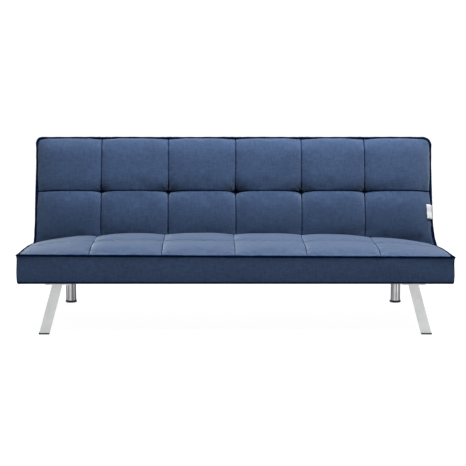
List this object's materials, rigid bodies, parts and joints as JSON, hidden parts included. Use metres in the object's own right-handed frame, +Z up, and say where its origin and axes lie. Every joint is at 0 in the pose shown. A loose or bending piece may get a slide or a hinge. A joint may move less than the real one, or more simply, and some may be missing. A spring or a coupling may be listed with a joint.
{
  "type": "futon sofa bed",
  "caption": "Armless convertible sofa bed with a tufted seat and a tufted reclining back on ratchet hinges, splayed flat front legs and upright round rear legs.",
  "frame": {"origin": "on the floor, under the centre of the bounding box, with the back upright", "axes": "+X along the width to the right as seen from the front, +Y from the front of the seat to the back, +Z up"},
  "size_m": [1.676, 0.7576, 0.716],
  "materials": {
    "cover_fabric": "brushed woven upholstery fabric, denim blue",
    "piping_cord": "dark navy fabric-covered piping",
    "lining_cloth": "black non-woven lining",
    "foam": "open-cell upholstery foam",
    "webbing": "elastic webbing",
    "side_tab": "blank white woven tab",
    "spring_steel": "oiled spring wire",
    "pine": "planed pine",
    "zinc_steel": "zinc plated",
    "black_steel": "black powder coat",
    "satin_chrome": "satin chrome plate",
    "bright_chrome": "bright chrome plate",
    "black_plastic": "moulded black plastic",
    "rubber": "black rubber"
  },
  "bodies": {
    "base": {"seat_cover": "cover_fabric", "seat_piping": "piping_cord", "seat_dust_cover": "lining_cloth", "seat_foam": "foam", "seat_spring_deck": "spring_steel", "hinge_pawl_spring_left": "spring_steel", "hinge_pawl_spring_right": "spring_steel", "seat_front_rail": "pine", "seat_rear_rail": "pine", "seat_stretcher_1": "pine", "seat_stretcher_2": "pine", "seat_end_rail_left": "pine", "seat_end_rail_right": "pine", "leg_block_left": "pine", "leg_block_right": "pine", "hinge_seat_plate_left": "zinc_steel", "hinge_seat_plate_right": "zinc_steel", "hinge_pivot_bolt_left": "zinc_steel", "hinge_pivot_bolt_right": "zinc_steel", "hinge_pivot_nut_left": "zinc_steel", "hinge_pivot_nut_right": "zinc_steel", "hinge_pawl_pin_left": "zinc_steel", "hinge_pawl_pin_right": "zinc_steel", "base_spacer_front_left": "zinc_steel", "base_spacer_front_right": "zinc_steel", "base_spacer_rear_left": "zinc_steel", "base_spacer_rear_right": "zinc_steel", "base_cross_tube": "black_steel", "base_rail_left": "black_steel", "base_rail_right": "black_steel", "rear_leg_flange_left": "black_steel", "rear_leg_flange_right": "black_steel", "front_leg_left": "satin_chrome", "front_leg_right": "satin_chrome", "front_leg_plate_left": "satin_chrome", "front_leg_plate_right": "satin_chrome", "rear_leg_left": "bright_chrome", "rear_leg_right": "bright_chrome", "front_leg_pad_left": "black_plastic", "front_leg_pad_right": "black_plastic", "rear_leg_cup_left": "black_plastic", "rear_leg_cup_right": "black_plastic", "bed_rest_pad_left": "rubber", "bed_rest_pad_right": "rubber"},
    "back": {"back_cover": "cover_fabric", "back_piping": "piping_cord", "back_rear_panel": "lining_cloth", "back_foam": "foam", "back_webbing": "webbing", "back_side_tab": "side_tab", "back_bottom_rail": "pine", "back_top_rail": "pine", "back_centre_upright": "pine", "back_end_rail_left": "pine", "back_end_rail_right": "pine", "hinge_back_plate_left": "zinc_steel", "hinge_back_plate_right": "zinc_steel"},
    "pawl_left": {"hinge_pawl_left": "zinc_steel"},
    "pawl_right": {"hinge_pawl_right": "zinc_steel"}
  },
  "joints": [
    {"name": "back_recline", "type": "hinge", "parent": "base", "child": "back", "pos_m": [0, 0.15616, 0.2984], "axis": [-1, 0, 0], "range_deg": [-8, 72]},
    {"name": "pawl_left_drop", "type": "hinge", "parent": "base", "child": "pawl_left", "pos_m": [-0.799, 0.16421, 0.26205], "axis": [-1, 0, 0], "range_deg": [0, 6]},
    {"name": "pawl_right_drop", "type": "hinge", "parent": "base", "child": "pawl_right", "pos_m": [0.799, 0.16421, 0.26205], "axis": [-1, 0, 0], "range_deg": [0, 6]}
  ],
  "couplings": [
    {"joint": "pawl_right_drop", "follows": "pawl_left_drop", "ratio": 1}
  ]
}
